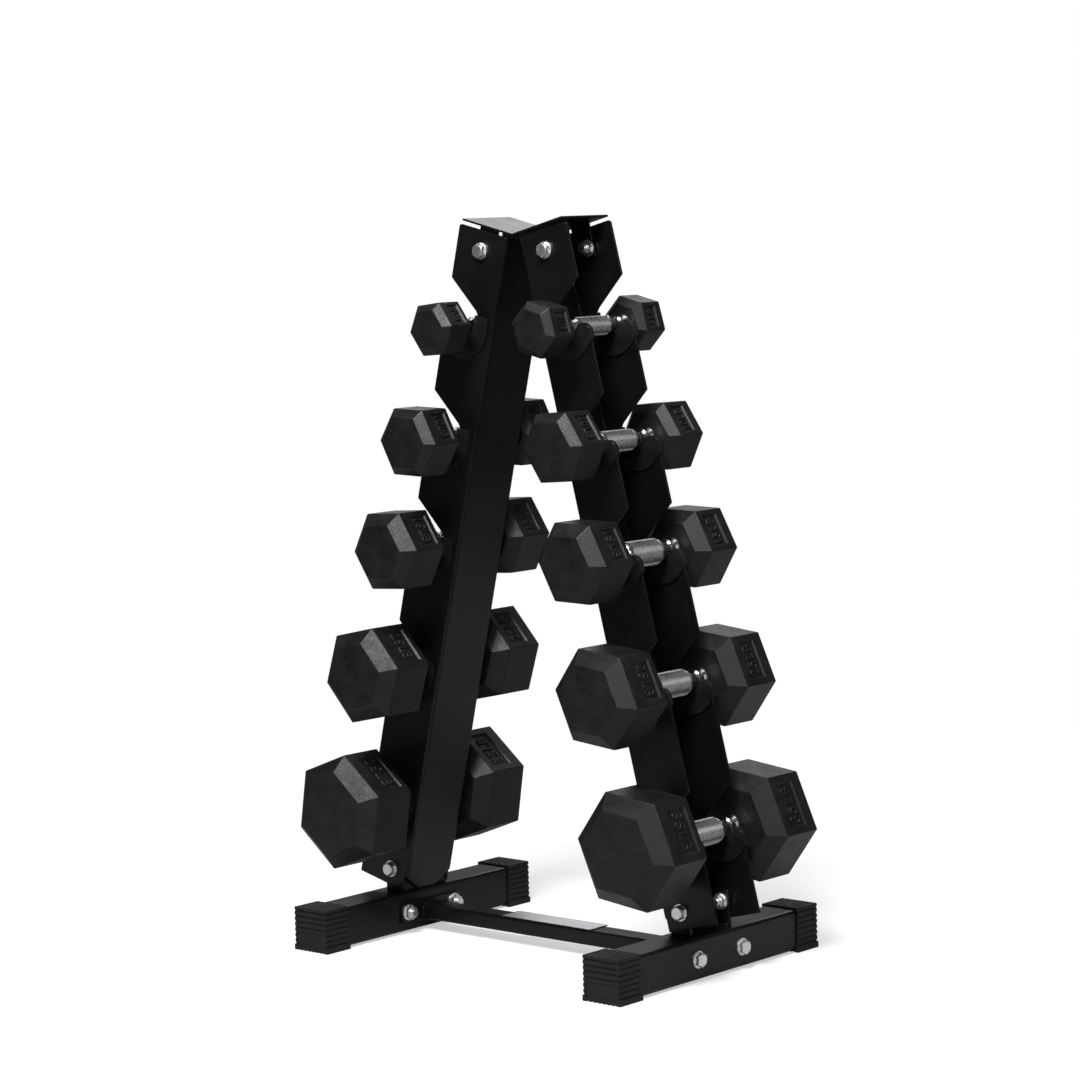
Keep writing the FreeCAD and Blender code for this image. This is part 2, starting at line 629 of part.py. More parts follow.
def heads(flats, length, bevel, waist):
    y0, y1 = HEAD_START, HEAD_START + length
    shell = hex_block(flats, y0, y1, bevel)
    hollow = hex_block(flats - 2 * RUBBER, y0 + RUBBER, y1 - RUBBER, bevel)
    hole = cylinder_y(waist + SPIGOT_GAP, y0 - CUT, y0 + 2 * RUBBER, 0, 0)
    shell = shell.cut(hollow).cut(hole)
    return [shell, turned_z(shell, 180)]


def cores(flats, length, bevel, waist):
    y0, y1 = HEAD_START, HEAD_START + length
    core = hex_block(flats - 2 * RUBBER, y0 + RUBBER, y1 - RUBBER, bevel)
    core = core.cut(cylinder_y(waist + SPIGOT_GAP, y0, spigot_end(length), 0, 0))
    return [core, turned_z(core, 180)]


def handle(length, barrel, waist):
    """Barrel, waist that rests in the cradles, collar, flare and the spigot in the core."""
    end = spigot_end(length)
    profile = [(barrel, BARREL_HALF),
               (waist, BARREL_HALF + SHOULDER),
               (waist, SEAT_END),
               (waist + COLLAR_STEP, SEAT_END),
               (waist + COLLAR_STEP, COLLAR_END),
               (waist, COLLAR_END),
               (waist, FLARE_START),
               (waist + FLARE_STEP, HEAD_START),
               (waist, HEAD_START),
               (waist, end)]
    half = [vec(r, y, 0) for r, y in profile]
    mirror = [vec(p.x, -p.y, 0) for p in reversed(half)]
    outline = [vec(0, -end, 0)] + mirror + half + [vec(0, end, 0), vec(0, -end, 0)]
    face = Part.Face(Part.makePolygon(outline))
    return face.revolve(vec(0, 0, 0), vec(0, 1, 0), 360).removeSplitter()


def dumbbell(side, tier, turn):
    name, flats, length, bevel, barrel, waist = DUMBBELLS[tier]
    x, z = rack_xz(*seat(TOOTH_POSITIONS[tier], waist))
    label = ("right_" if side > 0 else "left_") + name + "_"

    def place(shape):
        return moved(turned_y(shape, turn), side * x, 0, z)

    return {label + "heads": [place(s) for s in heads(flats, length, bevel, waist)],
            label + "cores": [place(s) for s in cores(flats, length, bevel, waist)],
            label + "handle": [place(handle(length, barrel, waist))]}


# ---- the rack ----------------------------------------------------------------------------

def frame_nodes():
    leg = upright_leg()
    nodes = {"top_bracket": [top_bracket()], "crossbar": [crossbar()], "name_plate": [name_plate()]}
    for word, side in (("left", -1), ("right", 1)):
        nodes[word + "_leg"] = [leg_to_rack(leg, side)]
        nodes[word + "_foot_tube"] = [foot_tube(side)]
        nodes[word + "_leg_bracket"] = [leg_bracket(side)]
        nodes[word + "_crossbar_end_plate"] = [end_plate(side)]
        for place, face in (("front", -1), ("rear", 1)):
            nodes[word + "_" + place + "_cradle_liners"] = liners(leg, side, face)
            nodes[word + "_" + place + "_end_cap"] = [end_cap(side, face)]
    nodes.update(joint_fasteners())
    return nodes


def all_nodes():
    nodes = frame_nodes()
    for side, turns in ((-1, TURN_LEFT), (1, TURN_RIGHT)):
        for tier, turn in enumerate(turns):
            nodes.update(dumbbell(side, tier, turn))
    return nodes


def main():
    os.makedirs("parts", exist_ok=True)
    for name, shapes in all_nodes().items():
        shape = shapes[0] if len(shapes) == 1 else Part.makeCompound(shapes)
        shape.exportStep(os.path.join("parts", name + ".step"))


main()
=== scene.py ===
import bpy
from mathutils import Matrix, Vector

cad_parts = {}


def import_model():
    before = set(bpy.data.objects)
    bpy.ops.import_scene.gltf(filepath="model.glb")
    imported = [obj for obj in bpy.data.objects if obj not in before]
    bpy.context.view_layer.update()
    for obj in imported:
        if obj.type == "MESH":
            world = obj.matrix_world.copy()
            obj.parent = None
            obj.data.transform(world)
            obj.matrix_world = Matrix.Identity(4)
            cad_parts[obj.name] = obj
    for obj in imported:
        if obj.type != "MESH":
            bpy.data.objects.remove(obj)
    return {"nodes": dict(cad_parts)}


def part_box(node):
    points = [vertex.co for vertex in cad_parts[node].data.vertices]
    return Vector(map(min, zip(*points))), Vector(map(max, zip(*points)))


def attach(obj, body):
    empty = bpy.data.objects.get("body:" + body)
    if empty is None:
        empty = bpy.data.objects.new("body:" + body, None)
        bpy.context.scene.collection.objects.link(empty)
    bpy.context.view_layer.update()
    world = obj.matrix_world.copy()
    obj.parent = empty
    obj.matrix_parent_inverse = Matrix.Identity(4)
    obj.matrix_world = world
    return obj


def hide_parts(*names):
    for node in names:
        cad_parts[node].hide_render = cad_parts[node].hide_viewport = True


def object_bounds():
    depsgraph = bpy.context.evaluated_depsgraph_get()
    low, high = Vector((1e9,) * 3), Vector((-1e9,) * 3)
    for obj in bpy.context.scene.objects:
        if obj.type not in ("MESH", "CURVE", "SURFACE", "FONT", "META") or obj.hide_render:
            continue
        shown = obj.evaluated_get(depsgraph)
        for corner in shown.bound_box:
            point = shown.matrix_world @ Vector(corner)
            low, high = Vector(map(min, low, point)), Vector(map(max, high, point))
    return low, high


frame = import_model()
CAD_BOX = [list(corner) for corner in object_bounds()]

import math
import bmesh
import bpy
from mathutils import Matrix, Vector

# Looks of the dumbbell rack, in metres: rubber heads with recessed weight labels, knurled
# chrome handles, satin powder coat, moulded liners and caps, zinc fasteners and weld beads.

# name, label, across flats, overall length, edge bevel, barrel radius, waist radius
DUMBBELLS = (
    ("5lb", "5LB", 0.062, 0.222, 0.0085, 0.0120, 0.0100),
    ("10lb", "10LB", 0.082, 0.247, 0.0105, 0.0135, 0.0110),
    ("15lb", "15LB", 0.094, 0.276, 0.0145, 0.0165, 0.0125),
    ("25lb", "25LB", 0.111, 0.297, 0.0165, 0.0165, 0.0125),
    ("35lb", "35LB", 0.130, 0.309, 0.0180, 0.0165, 0.0125),
)
# degrees that each dumbbell lies turned in its cradle, in the order above
TURNS = {"right": (-14.0, 4.0, -1.5, -6.0, -6.5), "left": (6.5, -2.0, 3.0, 12.0, 20.5)}
HALF_GRIP = 0.0603          # middle of the handle to each head
BARREL_HALF = 0.033
SEAT_END = 0.0465
LABEL_SPAN = (0.14, 0.72)   # of the flat's width, from the handle's side outwards
LABEL_LENGTH = 0.76         # of the hexagon's edge
LABEL_DEPTH = 0.0020        # the recess's walls slant at 45 degrees
LABEL_WAY = (0.866, 0, 0.5)      # the way one label faces; the other faces the opposite way
LETTER_RISE = 0.0015
LETTER_EDGE = 0.0005        # bevel round the letters' tops
LETTER_STROKE = 0.02        # what thickens the strokes, of the letters' size
LETTER_SPACING = 1.12
LETTER_SINK = 0.0002        # how far the letters go into the label's floor
WORD_WIDTH = 1.62           # of half the label's length, for a label of four characters
SHORT_WORD = 0.86           # what a label of three characters takes of that
WORD_HEIGHT = 1.06          # of half the label's width
HEAD_ROUND = 0.0010
FLAT_AREA = 2.0e-4          # faces of a head larger than this stay flat
KNURL_PITCH = 0.0020
KNURL_DEPTH = 0.0006
KNURL_HALF = 0.0275         # of the knurled stretch, from the handle's middle
HANDLE_END = 0.02           # how far a handle runs into the heads
PLATE_RIM = (0.985, 0.93)   # where the name plate's rim starts, of its half size along X and Y
BRACKET_SHEET = 0.004
WELD_RADIUS = 0.0016
BAR_WELD_RADIUS = 0.0018
WELD_STEP = 0.0008
WELD_SIDES = 10


# ---- node materials -----------------------------------------------------------------------

class Nodes:
    """A new node material, and short calls that add nodes to it."""

    def __init__(self, name, **shader):
        self.material = bpy.data.materials.new(name)
        self.material.use_nodes = True
        self.tree = self.material.node_tree
        self.shader = self.tree.nodes["Principled BSDF"]
        for socket, value in shader.items():
            self.shader.inputs[socket.replace("_", " ")].default_value = value
        self.place = self.add("TexCoord").outputs["Object"]

    def add(self, kind, inputs=None, **settings):
        node = self.tree.nodes.new("ShaderNode" + kind)
        for name, value in settings.items():
            setattr(node, name, value)
        for name, value in (inputs or {}).items():
            if isinstance(value, bpy.types.NodeSocket):
                self.tree.links.new(value, node.inputs[name])
            else:
                node.inputs[name].default_value = value
        return node

    def math(self, operation, a, b=0.0):
        return self.add("Math", {0: a, 1: b}, operation=operation).outputs[0]

    def noise(self, scale, detail=2.0, rough=0.5):
        return self.add("TexNoise", {"Vector": self.place, "Scale": scale, "Detail": detail,
                                     "Roughness": rough}).outputs["Fac"]

    def spread(self, fac, low, high, frm=(0.3, 0.7)):
        return self.add("MapRange", {"Value": fac, "From Min": frm[0], "From Max": frm[1],
                                     "To Min": low, "To Max": high}).outputs["Result"]

    def tint(self, fac, dark, light):
        mix = self.add("Mix", {0: fac, 6: (*dark, 1), 7: (*light, 1)}, data_type="RGBA")
        return mix.outputs[2]

    def bump(self, height, distance, strength=1.0, normal=None):
        inputs = {"Height": height, "Distance": distance, "Strength": strength}
        if normal:
            inputs["Normal"] = normal
        return self.add("Bump", inputs).outputs["Normal"]

    def soft_edges(self, radius, samples=4):
        return self.add("Bevel", {"Radius": radius}, samples=samples).outputs["Normal"]

    def link(self, output, socket):
        self.tree.links.new(output, self.shader.inputs[socket])

    def split(self):
        return self.add("SeparateXYZ", {0: self.place}).outputs


def powder_coat():
    """Satin black coat on sheet steel: fine orange peel, faint mottling, softly rounded edges."""
    m = Nodes("powder_coat", IOR=1.32)
    cloud = m.noise(11.0, 4.0, 0.62)
    m.link(m.tint(m.spread(cloud, 0.0, 1.0), (0.0022, 0.0022, 0.0024),
                  (0.0045, 0.0045, 0.0048)), "Base Color")
    speck = m.noise(420.0, 3.0, 0.6)
    rough = m.math("ADD", m.spread(cloud, 0.27, 0.36), m.spread(speck, -0.03, 0.05))
    m.link(rough, "Roughness")
    peel = m.bump(m.noise(900.0, 2.0), 0.00006, 0.35, m.soft_edges(0.0018, 6))
    m.link(peel, "Normal")
    return m.material


def rubber():
    """Moulded black rubber with a fine grain and slightly uneven gloss."""
    base = 0.0030
    m = Nodes("head_rubber", IOR=1.34)
    patch = m.noise(38.0, 5.0, 0.66)
    m.link(m.tint(m.spread(patch, 0.0, 1.0), (base,) * 3, (base * 2.6,) * 3), "Base Color")
    m.link(m.math("ADD", m.spread(patch, 0.38, 0.54), m.spread(m.noise(430.0), -0.07, 0.07)),
           "Roughness")
    grain = m.math("ADD", m.noise(1500.0, 2.0), m.math("MULTIPLY", m.noise(420.0, 2.0), 1.2))
    m.link(m.bump(grain, 0.00016, 0.7), "Normal")
    return m.material


def chrome(name, radius):
    """Bright chrome, a little hazy, with painted shade darkening the valleys of the knurl."""
    m = Nodes(name, Metallic=1.0)
    haze = m.noise(60.0, 3.0, 0.6)
    axes = m.split()
    reach = m.math("SQRT", m.math("ADD", m.math("MULTIPLY", axes["X"], axes["X"]),
                                  m.math("MULTIPLY", axes["Z"], axes["Z"])))
    # painted shade: the knurl's valleys get a darker base colour than its peaks and the plain
    # metal
    clear_of_painted_shade = m.spread(reach, 0.0, 1.0, (radius - KNURL_DEPTH, radius - 0.6 * KNURL_DEPTH))
    on_knurl = m.math("LESS_THAN", m.math("ABSOLUTE", axes["Y"]), KNURL_HALF)
    painted_shade_fac = m.math("MAXIMUM", clear_of_painted_shade, m.math("SUBTRACT", 1.0, on_knurl))
    m.link(m.tint(painted_shade_fac, (0.08, 0.08, 0.09), (0.52, 0.52, 0.54)), "Base Color")
    m.link(m.math("ADD", m.spread(haze, 0.10, 0.2), m.math("MULTIPLY", on_knurl, 0.12)),
           "Roughness")
    m.link(m.bump(m.noise(900.0, 2.0), 0.00002, 0.3), "Normal")
    return m.material


def moulded(name, base, low, high, edge):
    """Moulded black plastic: base colour, range of roughness, and radius of its soft edges."""
    m = Nodes(name, IOR=1.36)
    patch = m.noise(40.0, 3.0, 0.6)
    m.link(m.tint(m.spread(patch, 0.0, 1.0), (base,) * 3, (base * 1.7,) * 3), "Base Color")
    m.link(m.spread(patch, low, high), "Roughness")
    m.link(m.bump(m.noise(1300.0, 2.0), 0.00005, 0.4, m.soft_edges(edge, 4)), "Normal")
    return m.material


def zinc():
    """Bright zinc with a faint fine grain and a slight stain in places."""
    m = Nodes("zinc_plate", Metallic=1.0)
    patch = m.noise(180.0, 4.0, 0.65)
    m.link(m.tint(m.spread(patch, 0.0, 1.0), (0.72, 0.72, 0.73), (0.93, 0.93, 0.94)),
           "Base Color")
    m.link(m.spread(patch, 0.30, 0.42), "Roughness")
    m.link(m.bump(m.noise(900.0, 2.0), 0.00002, 0.2, m.soft_edges(0.0006, 4)), "Normal")
    return m.material


def plate_metal():
    """Brushed silver name plate, left blank, with a thin dark rim."""
    m = Nodes("plate_metal", Metallic=1.0)
    low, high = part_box("name_plate")
    axes = m.split()
    across = [m.math("DIVIDE", m.math("ABSOLUTE", axes[a]), (high[i] - low[i]) / 2)
              for i, a in ((0, "X"), (1, "Y"))]
    rims = [m.math("GREATER_THAN", share, start) for share, start in zip(across, PLATE_RIM)]
    rim = m.math("MAXIMUM", *rims)
    stretch = m.add("Mapping", {"Vector": m.place, "Scale": (6.0, 900.0, 1.0)}).outputs[0]
    brush = m.add("TexNoise", {"Vector": stretch, "Scale": 1.0, "Detail": 3.0}).outputs["Fac"]
    m.link(m.tint(rim, (0.82, 0.83, 0.85), (0.02, 0.02, 0.02)), "Base Color")
    m.link(m.spread(brush, 0.26, 0.42), "Roughness")
    m.link(m.bump(brush, 0.00002, 0.3, m.soft_edges(0.0004, 4)), "Normal")
    return m.material


def iron():
    """Rough cast iron, for the cores inside the heads."""
    m = Nodes("core_iron", Metallic=0.9)
    patch = m.noise(90.0, 4.0, 0.6)
    m.link(m.tint(patch, (0.03, 0.03, 0.03), (0.09, 0.088, 0.085)), "Base Color")
    m.link(m.spread(patch, 0.5, 0.75), "Roughness")
    m.link(m.bump(patch, 0.0004, 0.5), "Normal")
    return m.material


# ---- mesh helpers -------------------------------------------------------------------------

def piece_from(bm, name, body, material, matrix=None, sharp=32.0, flat_area=1.0):
    """Turn a bmesh into a piece that rides on a body and takes its finish from a slot.

    Edges sharper than sharp degrees stay hard, and so do faces larger than flat_area.
    """
    bmesh.ops.recalc_face_normals(bm, faces=bm.faces)
    mesh = bpy.data.meshes.new(name)
    bm.to_mesh(mesh)
    bm.free()
    mesh.shade_smooth()
    mesh.set_sharp_from_angle(angle=math.radians(sharp))
    for face in mesh.polygons:
        face.use_smooth = face.area < flat_area
    mesh.materials.append(material)
    piece = bpy.data.objects.new(name, mesh)
    bpy.context.scene.collection.objects.link(piece)
    if matrix is not None:
        piece.matrix_world = matrix
    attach(piece, body)
    return piece


def ring_of(bm, y, radius, count):
    """A ring of vertices round the Y axis."""
    return [bm.verts.new((radius * math.cos(a), y, radius * math.sin(a)))
            for a in (2 * math.pi * i / count for i in range(count))]


def knurled(bm, radius, around):
    """Raised pyramids round a barrel; returns the plain rings at both ends."""
    along = 2 * round(KNURL_HALF * 2 / KNURL_PITCH)
    first = ring_of(bm, -KNURL_HALF, radius - KNURL_DEPTH, around)
    rings = [first]
    for j in range(1, along):
        y = -KNURL_HALF + 2 * KNURL_HALF * j / along
        ring = []
        for i in range(around):
            r = radius - (0.0 if (i + j) % 2 else KNURL_DEPTH)
            a = 2 * math.pi * i / around
            ring.append(bm.verts.new((r * math.cos(a), y, r * math.sin(a))))
        rings.append(ring)
    rings.append(ring_of(bm, KNURL_HALF, radius - KNURL_DEPTH, around))
    for j, (low, high) in enumerate(zip(rings, rings[1:])):
        for i in range(around):
            k = (i + 1) % around
            if (i + j) % 2:
                bm.faces.new((low[i], low[k], high[i]))
                bm.faces.new((low[k], high[k], high[i]))
            else:
                bm.faces.new((low[i], low[k], high[k]))
                bm.faces.new((low[i], high[k], high[i]))
    return rings[0], rings[-1]


def close_end(bm, ring, profile):
    """Carry a ring on along a profile of (along Y, radius), and close its end."""
    count = len(ring)
    for y, radius in profile:
        following = ring_of(bm, y, radius, count)
        for i in range(count):
            k = (i + 1) % count
            bm.faces.new((ring[i], ring[k], following[k], following[i]))
        ring = following
    bm.faces.new(ring)


# ---- dumbbells ----------------------------------------------------------------------------

def hex_corner(flats, y, i):
    """Corner i of a hexagon that measures flats across its flats, at y."""
    radius = flats / math.sqrt(3)
    angle = math.radians(60 * i)
    return Vector((radius * math.cos(angle), y, radius * math.sin(angle)))


def label_frame(flats, length, bevel):
    """A label's middle, the directions along its edge, of its letters' tops and outwards, and
    its half sizes."""
    inner, outer = HALF_GRIP + bevel, length / 2 - bevel
    near = inner + LABEL_SPAN[0] * (outer - inner)
    far = inner + LABEL_SPAN[1] * (outer - inner)
    normal = Vector((math.cos(math.radians(30)), 0, math.sin(math.radians(30))))
    middle = normal * flats / 2 + Vector((0, (near + far) / 2, 0))
    along = Vector((-0.5, 0, math.sin(math.radians(60))))
    half_length = LABEL_LENGTH * flats / math.sqrt(3) / 2
    return middle, along, Vector((0, -1, 0)), normal, half_length, (far - near) / 2


def head_block(flats, length, bevel):
    """One head: a hexagonal block with bevelled ends and a recessed label on two sides."""
    bm = bmesh.new()
    levels = ((HALF_GRIP, flats - 2 * bevel), (HALF_GRIP + bevel, flats),
              (length / 2 - bevel, flats), (length / 2, flats - 2 * bevel))
    rings = [[bm.verts.new(hex_corner(size, y, i)) for i in range(6)] for y, size in levels]
    bm.faces.new(rings[0])
    bm.faces.new(rings[3])
    middle, along, up, normal, half_length, half_width = label_frame(flats, length, bevel)
    half_turn = Matrix.Rotation(math.pi, 3, "Y")
    for i in range(6):
        j = (i + 1) % 6
        for low, high in ((0, 1), (2, 3)):
            bm.faces.new((rings[low][i], rings[low][j], rings[high][j], rings[high][i]))
        side = (rings[1][i], rings[1][j], rings[2][j], rings[2][i])
        if i not in (0, 3):
            bm.faces.new(side)
            continue
        # corners in the order of side: near and low, near and high, far and high, far and low
        signs = ((-1, 1), (1, 1), (1, -1), (-1, -1))
        mouth, floor = [], []
        for a, b in signs:
            for verts, inset, depth in ((mouth, 0.0, 0.0), (floor, LABEL_DEPTH, LABEL_DEPTH)):
                point = (middle + along * a * (half_length - inset)
                         + up * b * (half_width - inset) - normal * depth)
                verts.append(bm.verts.new(half_turn @ point if i == 3 else point))
        for k in range(4):
            n = (k + 1) % 4
            bm.faces.new((side[k], side[n], mouth[n], mouth[k]))
            bm.faces.new((mouth[k], mouth[n], floor[n], floor[k]))
        bm.faces.new(floor)
    bmesh.ops.recalc_face_normals(bm, faces=bm.faces)
    hard = [e for e in bm.edges if e.calc_face_angle(0) > math.radians(20)
            and e.calc_length() > 0.003 and not on_label(e, flats)]
    bmesh.ops.bevel(bm, geom=hard, offset=HEAD_ROUND, segments=3, profile=0.6, affect="EDGES")
    return bm


def on_label(edge, flats):
    """True for the edges round and inside a label's recess, which aren't rounded."""
    middle = (edge.verts[0].co + edge.verts[1].co) / 2
    reach = math.hypot(middle.x, middle.z)
    corner = flats / math.sqrt(3)
    faces_out = abs(middle.normalized().dot(Vector(LABEL_WAY))) > 0.3
    straight = abs(edge.verts[0].co.y - edge.verts[1].co.y) > 0.003
    if straight:
        return faces_out and reach < corner * 0.97
    inside = HALF_GRIP + 0.003 < middle.y and reach > flats / 2 - 0.002
    return faces_out and inside and edge.calc_length() < 0.8 * corner


def letters(text, flats, length, bevel):
    """The raised weight label, stretched to fill its recess on one labelled side; the caller sets
    a turned copy on the other.
    """
    curve = bpy.data.curves.new("label", "FONT")
    curve.body = text
    curve.align_x = "CENTER"
    curve.align_y = "CENTER"
    curve.size = 1.0
    curve.space_character = LETTER_SPACING
    curve.extrude = 0.5
    curve.bevel_depth = LETTER_STROKE
    curve.bevel_resolution = 0
    curve.resolution_u = 5
    holder = bpy.data.objects.new("label", curve)
    bpy.context.scene.collection.objects.link(holder)
    bpy.context.view_layer.update()
    flat = bpy.data.meshes.new_from_object(holder.evaluated_get(
        bpy.context.evaluated_depsgraph_get()))
    bpy.data.objects.remove(holder)
    bpy.data.curves.remove(curve)
    xs = [v.co.x for v in flat.vertices]
    ys = [v.co.y for v in flat.vertices]
    middle, along, up, normal, half_length, half_width = label_frame(flats, length, bevel)
    share = SHORT_WORD if len(text) == 3 else 1.0
    wide = WORD_WIDTH * half_length / (max(xs) - min(xs)) * share
    tall = WORD_HEIGHT * half_width / (max(ys) - min(ys))
    x0, y0 = (max(xs) + min(xs)) / 2, (max(ys) + min(ys)) / 2
    base = middle - normal * (LABEL_DEPTH + LETTER_SINK)
    for v in flat.vertices:
        rise = 0.0
        if v.co.z > 0:
            rise = LETTER_RISE + LETTER_SINK
            if v.co.z < 0.5 + LETTER_STROKE / 2:
                rise -= LETTER_EDGE
        v.co = (base + along * (v.co.x - x0) * wide + up * (v.co.y - y0) * tall + normal * rise)
    return flat


def head_pair(name, side, label, flats, length, bevel, turn, axis, material):
    """Both rubber heads of a dumbbell, turned about its axis by turn degrees."""
    bm = head_block(flats, length, bevel)
    word = letters(label, flats, length, bevel)
    bm.from_mesh(word)
    before = len(bm.verts)
    bm.from_mesh(word)
    bm.verts.ensure_lookup_table()
    other_side = Matrix.Rotation(math.pi, 4, "Y")
    bmesh.ops.transform(bm, matrix=other_side, verts=bm.verts[before:])
    bpy.data.meshes.remove(word)
    count = len(bm.verts)
    mesh = bpy.data.meshes.new("half")
    bm.to_mesh(mesh)
    bm.from_mesh(mesh)
    bm.verts.ensure_lookup_table()
    bpy.data.meshes.remove(mesh)
    front = Matrix.Rotation(math.pi, 4, Vector((math.cos(math.pi / 6), 0, math.sin(math.pi / 6))))
    bmesh.ops.transform(bm, matrix=front, verts=bm.verts[count:])
    bmesh.ops.rotate(bm, matrix=Matrix.Rotation(math.radians(-turn), 3, "Y"), verts=bm.verts)
    body = side + "_" + name
    piece = piece_from(bm, body + "_rubber_heads", body, material,
                       Matrix.Translation(axis), flat_area=FLAT_AREA)
    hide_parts(body + "_heads")
    return piece


def handle_profile(barrel, waist, length):
    """Half profile outwards from the knurl's end: groove, band, waist, collar and flare.

    Each point is (along Y, radius), and length is where the profile ends.
    """
    collar = waist + 0.0015
    flare = waist + 0.0025
    return [(KNURL_HALF + 0.0011, barrel - KNURL_DEPTH), (KNURL_HALF + 0.0014, barrel),
            (BARREL_HALF - 0.0010, barrel), (BARREL_HALF - 0.0003, barrel - 0.0003),
            (BARREL_HALF + 0.0009, barrel - 0.0012), (BARREL_HALF + 0.0020, waist + 0.0006),
            (BARREL_HALF + 0.0030, waist), (SEAT_END, waist),
            (SEAT_END + 0.0002, collar - 0.0004), (SEAT_END + 0.0006, collar),
            (SEAT_END + 0.0029, collar), (SEAT_END + 0.0033, collar - 0.0004),
            (SEAT_END + 0.0035, waist), (HALF_GRIP - 0.0060, waist),
            (HALF_GRIP - 0.0048, waist + 0.0003), (HALF_GRIP - 0.0030, waist + 0.0010),
            (HALF_GRIP - 0.0010, flare - 0.0004), (HALF_GRIP - 0.0002, flare),
            (HALF_GRIP + 0.0010, flare), (HALF_GRIP + 0.0012, waist), (length, waist)]


def handle_piece(name, side, barrel, waist, axis, turn, material):
    """A dumbbell's handle: the knurled barrel and the turned ends that run into the heads."""
    bm = bmesh.new()
    profile = handle_profile(barrel, waist, HALF_GRIP + HANDLE_END)
    around = 2 * round(2 * math.pi * barrel / KNURL_PITCH)
    for sign, ring in zip((-1, 1), knurled(bm, barrel, around)):
        close_end(bm, ring, [(sign * y, radius) for y, radius in profile])
    body = side + "_" + name
    place = Matrix.Translation(axis) @ Matrix.Rotation(math.radians(-turn), 4, "Y")
    piece = piece_from(bm, body + "_knurled_handle", body, material, place)
    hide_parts(body + "_handle")
    return piece


def dumbbells():
    skin = rubber()
    core = iron()
    for i, (name, label, flats, length, bevel, barrel, waist) in enumerate(DUMBBELLS):
        shine = chrome("chrome_" + name, barrel)
        for side, turns in TURNS.items():
            turn = turns[i]
            low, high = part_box(side + "_" + name + "_handle")
            axis = (Vector(low) + Vector(high)) / 2
            head_pair(name, side, label, flats, length, bevel, turn, axis, skin)
            handle_piece(name, side, barrel, waist, axis, turn, shine)
            dress(side + "_" + name + "_cores", core)


# ---- the rack -----------------------------------------------------------------------------

def dress(node, material):
    """Put a material on all of a CAD node."""
    for slot in frame["nodes"][node].material_slots:
        slot.material = material


def weld_bead(bm, start, end, radius, waves=1400.0):
    """A rippled bead along a straight corner, thinner towards its ends."""
    start, end = Vector(start), Vector(end)
    run = end - start
    count = max(12, int(run.length / WELD_STEP))
    side = run.orthogonal().normalized()
    other = run.cross(side).normalized()
    rings = []
    for i in range(count + 1):
        t = i / count
        swell = 1.0 + 0.14 * math.sin(t * run.length * waves)
        swell *= min(1.0, 0.35 + 6 * min(t, 1 - t))
        ring = []
        for k in range(WELD_SIDES):
            a = 2 * math.pi * k / WELD_SIDES
            way = side * math.cos(a) + other * math.sin(a)
            ring.append(bm.verts.new(start + run * t + way * radius * swell))
        rings.append(ring)
    for low, high in zip(rings, rings[1:]):
        for k in range(WELD_SIDES):
            n = (k + 1) % WELD_SIDES
            bm.faces.new((low[k], low[n], high[n], high[k]))
    bm.faces.new(rings[0])
    bm.faces.new(rings[-1])


def welds(coat):
    """Beads along the brackets on the feet and round the crossbar at its end plates."""
    bm = bmesh.new()
    bar_low, bar_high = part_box("crossbar")
    for side in ("left", "right"):
        sign = -1 if side == "left" else 1
        low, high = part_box(side + "_leg_bracket")
        foot = low[2] + 0.0006
        for y in (low[1] + BRACKET_SHEET, high[1] - BRACKET_SHEET):
            weld_bead(bm, (low[0] + 0.001, y, foot), (high[0] - 0.001, y, foot), WELD_RADIUS)
        x = sign * bar_high[0] - sign * 0.0004
        top = bar_high[2]
        for y in (bar_low[1], bar_high[1]):
            weld_bead(bm, (x, y, bar_low[2] + 0.003), (x, y, top - 0.003), BAR_WELD_RADIUS)
        weld_bead(bm, (x, bar_low[1] + 0.003, top), (x, bar_high[1] - 0.003, top),
                  BAR_WELD_RADIUS)
    piece_from(bm, "weld_beads", "frame", coat, sharp=80.0)


def rack():
    """Materials for the rack's CAD nodes, and its welds."""
    coat = powder_coat()
    liner = moulded("liner_plastic", 0.005, 0.20, 0.32, 0.0012)
    cap = moulded("cap_plastic", 0.0045, 0.58, 0.70, 0.0005)
    metal = zinc()
    plate = plate_metal()
    for node in frame["nodes"]:
        if node.endswith(("_bolts", "_washers", "_nuts")):
            dress(node, metal)
        elif node.endswith("_cradle_liners"):
            dress(node, liner)
        elif node.endswith("_end_cap"):
            dress(node, cap)
        elif node.endswith(("_leg", "_foot_tube", "_bracket", "_end_plate", "crossbar")):
            dress(node, coat)
    dress("name_plate", plate)
    welds(coat)


# ---- floor, light and camera --------------------------------------------------------------

FLOOR_RADIUS = 2.9
FLOOR_FADE = (0.7, 1.7)     # where the floor starts and ends its fade to white
FLOOR_MIRRORED = 1.1        # radius of what shows in glossy surfaces
LIGHT_TARGET = (0, 0, 0.45)


def disc(name, radius, height, material):
    """A round piece of the stage, lying level."""
    mesh = bpy.data.meshes.new(name)
    bm = bmesh.new()
    bmesh.ops.create_circle(bm, cap_ends=True, segments=96, radius=radius)
    bm.to_mesh(mesh)
    bm.free()
    mesh.materials.append(material)
    plane = bpy.data.objects.new(name, mesh)
    plane.location = (0, 0, height)
    bpy.context.scene.collection.objects.link(plane)
    return plane


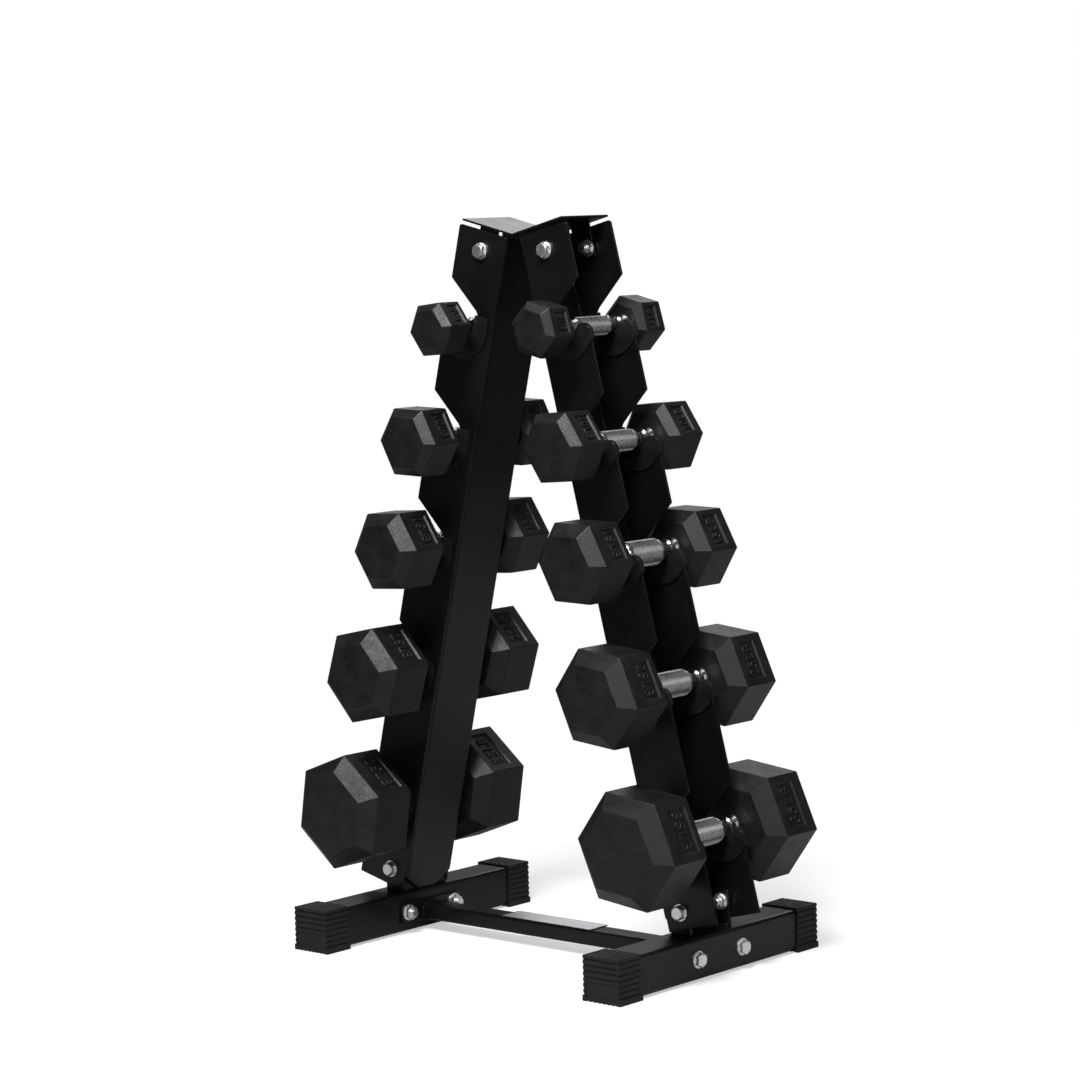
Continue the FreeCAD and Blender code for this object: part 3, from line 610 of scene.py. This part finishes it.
def floor():
    """A pale floor that fades to white far out, and the part of it that gloss reflects."""
    m = Nodes("floor_white", Roughness=0.9)
    reach = m.add("VectorMath", {0: m.place}, operation="LENGTH").outputs["Value"]
    far = m.spread(reach, 0.0, 1.0, FLOOR_FADE)
    m.link(m.tint(far, (0.50, 0.50, 0.50), (0.0, 0.0, 0.0)), "Base Color")
    m.shader.inputs["Emission Color"].default_value = (1, 1, 1, 1)
    m.link(m.spread(far, 0.5, 1.0, (0.0, 1.0)), "Emission Strength")
    m.shader.inputs["Specular IOR Level"].default_value = 0.1
    level = CAD_BOX[0][2] - 0.0005
    seen = disc("floor", FLOOR_RADIUS, level, m.material)
    seen.visible_glossy = False
    near = Nodes("floor_near", Roughness=0.9)
    near.link(near.tint(near.noise(3.0), (0.36, 0.36, 0.36), (0.42, 0.42, 0.42)), "Base Color")
    mirrored = disc("floor_near", FLOOR_MIRRORED, level + 0.0002, near.material)
    mirrored.visible_camera = False
    mirrored.visible_diffuse = False
    mirrored.visible_shadow = False


def world():
    """White behind the rack, and a dim even room for what it reflects."""
    scene_world = bpy.data.worlds.new("studio")
    bpy.context.scene.world = scene_world
    scene_world.use_nodes = True
    tree = scene_world.node_tree
    room = tree.nodes["Background"]
    room.inputs["Color"].default_value = (1, 1, 1, 1)
    room.inputs["Strength"].default_value = 0.10
    seen = tree.nodes.new("ShaderNodeBackground")
    seen.inputs["Strength"].default_value = 1.0
    seen.inputs["Color"].default_value = (1, 1, 1, 1)
    path = tree.nodes.new("ShaderNodeLightPath")
    mix = tree.nodes.new("ShaderNodeMixShader")
    tree.links.new(path.outputs["Is Camera Ray"], mix.inputs[0])
    tree.links.new(room.outputs[0], mix.inputs[1])
    tree.links.new(seen.outputs[0], mix.inputs[2])
    tree.links.new(mix.outputs[0], tree.nodes["World Output"].inputs["Surface"])


def softbox(name, direction, distance, size, power):
    """A rectangular light that points at the rack's middle and isn't seen itself."""
    data = bpy.data.lights.new(name, "AREA")
    data.shape = "RECTANGLE"
    data.size, data.size_y = size
    data.energy = power
    lamp = bpy.data.objects.new(name, data)
    way = Vector(direction).normalized()
    lamp.location = Vector(LIGHT_TARGET) + way * distance
    lamp.rotation_euler = (-way).to_track_quat("-Z", "Y").to_euler()
    lamp.visible_camera = False
    bpy.context.scene.collection.objects.link(lamp)


def lights():
    softbox("key", (0.24, -0.54, 0.80), 3.0, (1.0, 1.0), 150)
    softbox("front", (0.60, -0.71, 0.41), 3.2, (0.5, 0.5), 17)
    softbox("top", (0.0, 0.05, 1.0), 3.4, (3.2, 3.2), 50)
    softbox("back", (-0.54, 0.75, 0.47), 3.6, (3.0, 1.2), 24)
    softbox("right_side", (0.95, 0.15, 0.30), 3.2, (1.0, 2.0), 6)


AZIMUTH = 41.369            # degrees, of the direction the camera stands in
ELEVATION = 7.280
YAW, PITCH = 0.0011, -0.0271     # radians between that direction and the lens axis
ROLL = -1.555               # degrees
LENS = 111.611              # millimetres, on a sensor 36 mm wide
STANDPOINT = (2.7208, -3.0895, 0.9259)


def camera():
    """The photograph's viewing angle."""
    azimuth = math.radians(AZIMUTH) + YAW
    elevation = math.radians(ELEVATION) + PITCH
    back = Vector((math.sin(azimuth) * math.cos(elevation),
                   -math.cos(azimuth) * math.cos(elevation), math.sin(elevation)))
    right = (-back).cross(Vector((0, 0, 1))).normalized()
    up = right.cross(-back).normalized()
    roll = math.radians(ROLL)
    axis_x = right * math.cos(roll) + up * math.sin(roll)
    axis_y = up * math.cos(roll) - right * math.sin(roll)
    data = bpy.data.cameras.new("camera")
    data.sensor_width = 36.0
    data.lens = LENS
    data.clip_end = 100.0
    data.dof.use_dof = False
    view = bpy.data.objects.new("camera", data)
    turn = Matrix((axis_x, axis_y, back)).transposed().to_4x4()
    view.matrix_world = Matrix.Translation(Vector(STANDPOINT)) @ turn
    bpy.context.scene.collection.objects.link(view)
    bpy.context.scene.camera = view


rack()
dumbbells()
floor()
world()
lights()
camera()
bpy.context.scene.view_settings.view_transform = "Standard"
